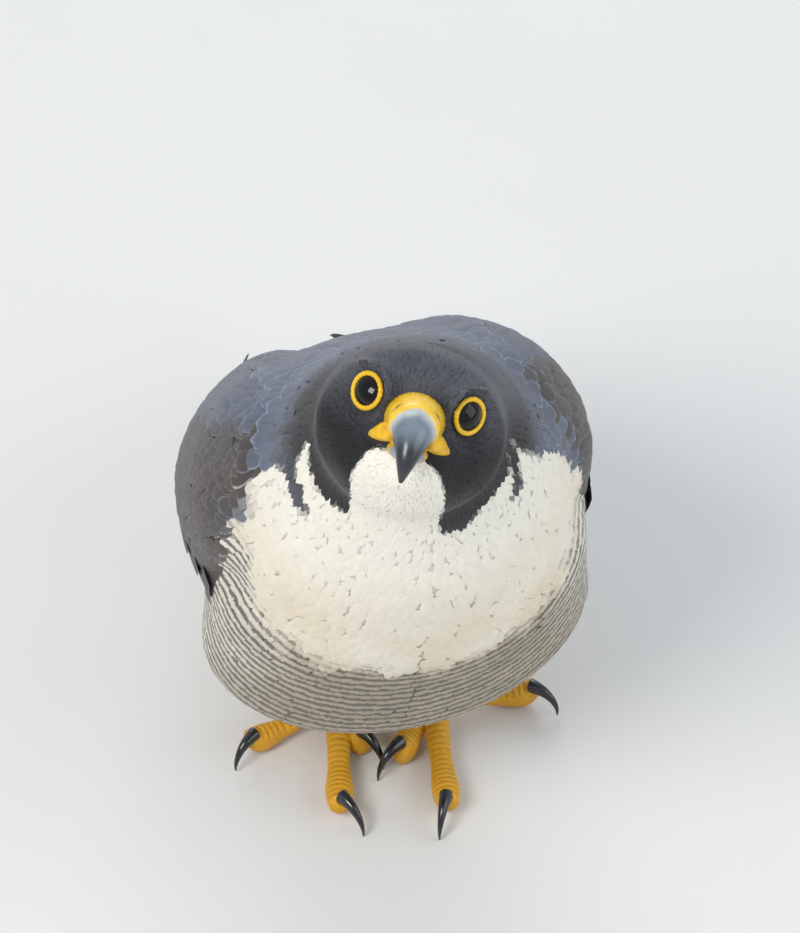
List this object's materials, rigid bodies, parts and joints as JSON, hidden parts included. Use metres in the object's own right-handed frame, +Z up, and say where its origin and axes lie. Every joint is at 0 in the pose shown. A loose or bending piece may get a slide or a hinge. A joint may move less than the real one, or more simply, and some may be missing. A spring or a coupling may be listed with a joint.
{
  "type": "peregrine falcon",
  "caption": "Life-size standing peregrine falcon with folded wings, sloping body and raised, turned head.",
  "frame": {"origin": "on the floor under the middle of the whole bird's box", "axes": "+Z up, -Y the way the body faces, +X the bird's left"},
  "size_m": [0.1432, 0.3195, 0.3059],
  "materials": {
    "body_feathers": "soft feathers, cream breast and barred grey-brown flanks",
    "hood_feathers": "soft charcoal feathers",
    "flight_feathers": "smooth slate-blue vanes with paler edges",
    "yellow_skin": "bare waxy yellow skin",
    "foot_skin": "deep yellow scaly skin",
    "bill": "blue-grey horn darkening to the tip",
    "claw": "polished black horn",
    "eye": "wet, nearly black brown"
  },
  "bodies": {
    "root": {"torso": "body_feathers", "neck": "body_feathers", "head": "hood_feathers", "tail": "flight_feathers", "wing_left": "flight_feathers", "wing_right": "flight_feathers", "thigh_left": "body_feathers", "thigh_right": "body_feathers", "cere": "yellow_skin", "eye_ring_left": "yellow_skin", "eye_ring_right": "yellow_skin", "eye_left": "eye", "eye_right": "eye", "upper_bill": "bill", "lower_bill": "bill", "tarsus_left": "foot_skin", "tarsus_right": "foot_skin", "toe_middle_left": "foot_skin", "toe_outer_left": "foot_skin", "toe_inner_left": "foot_skin", "toe_hind_left": "foot_skin", "toe_middle_right": "foot_skin", "toe_outer_right": "foot_skin", "toe_inner_right": "foot_skin", "toe_hind_right": "foot_skin", "claw_middle_left": "claw", "claw_outer_left": "claw", "claw_inner_left": "claw", "claw_hind_left": "claw", "claw_middle_right": "claw", "claw_outer_right": "claw", "claw_inner_right": "claw", "claw_hind_right": "claw"}
  },
  "joints": []
}
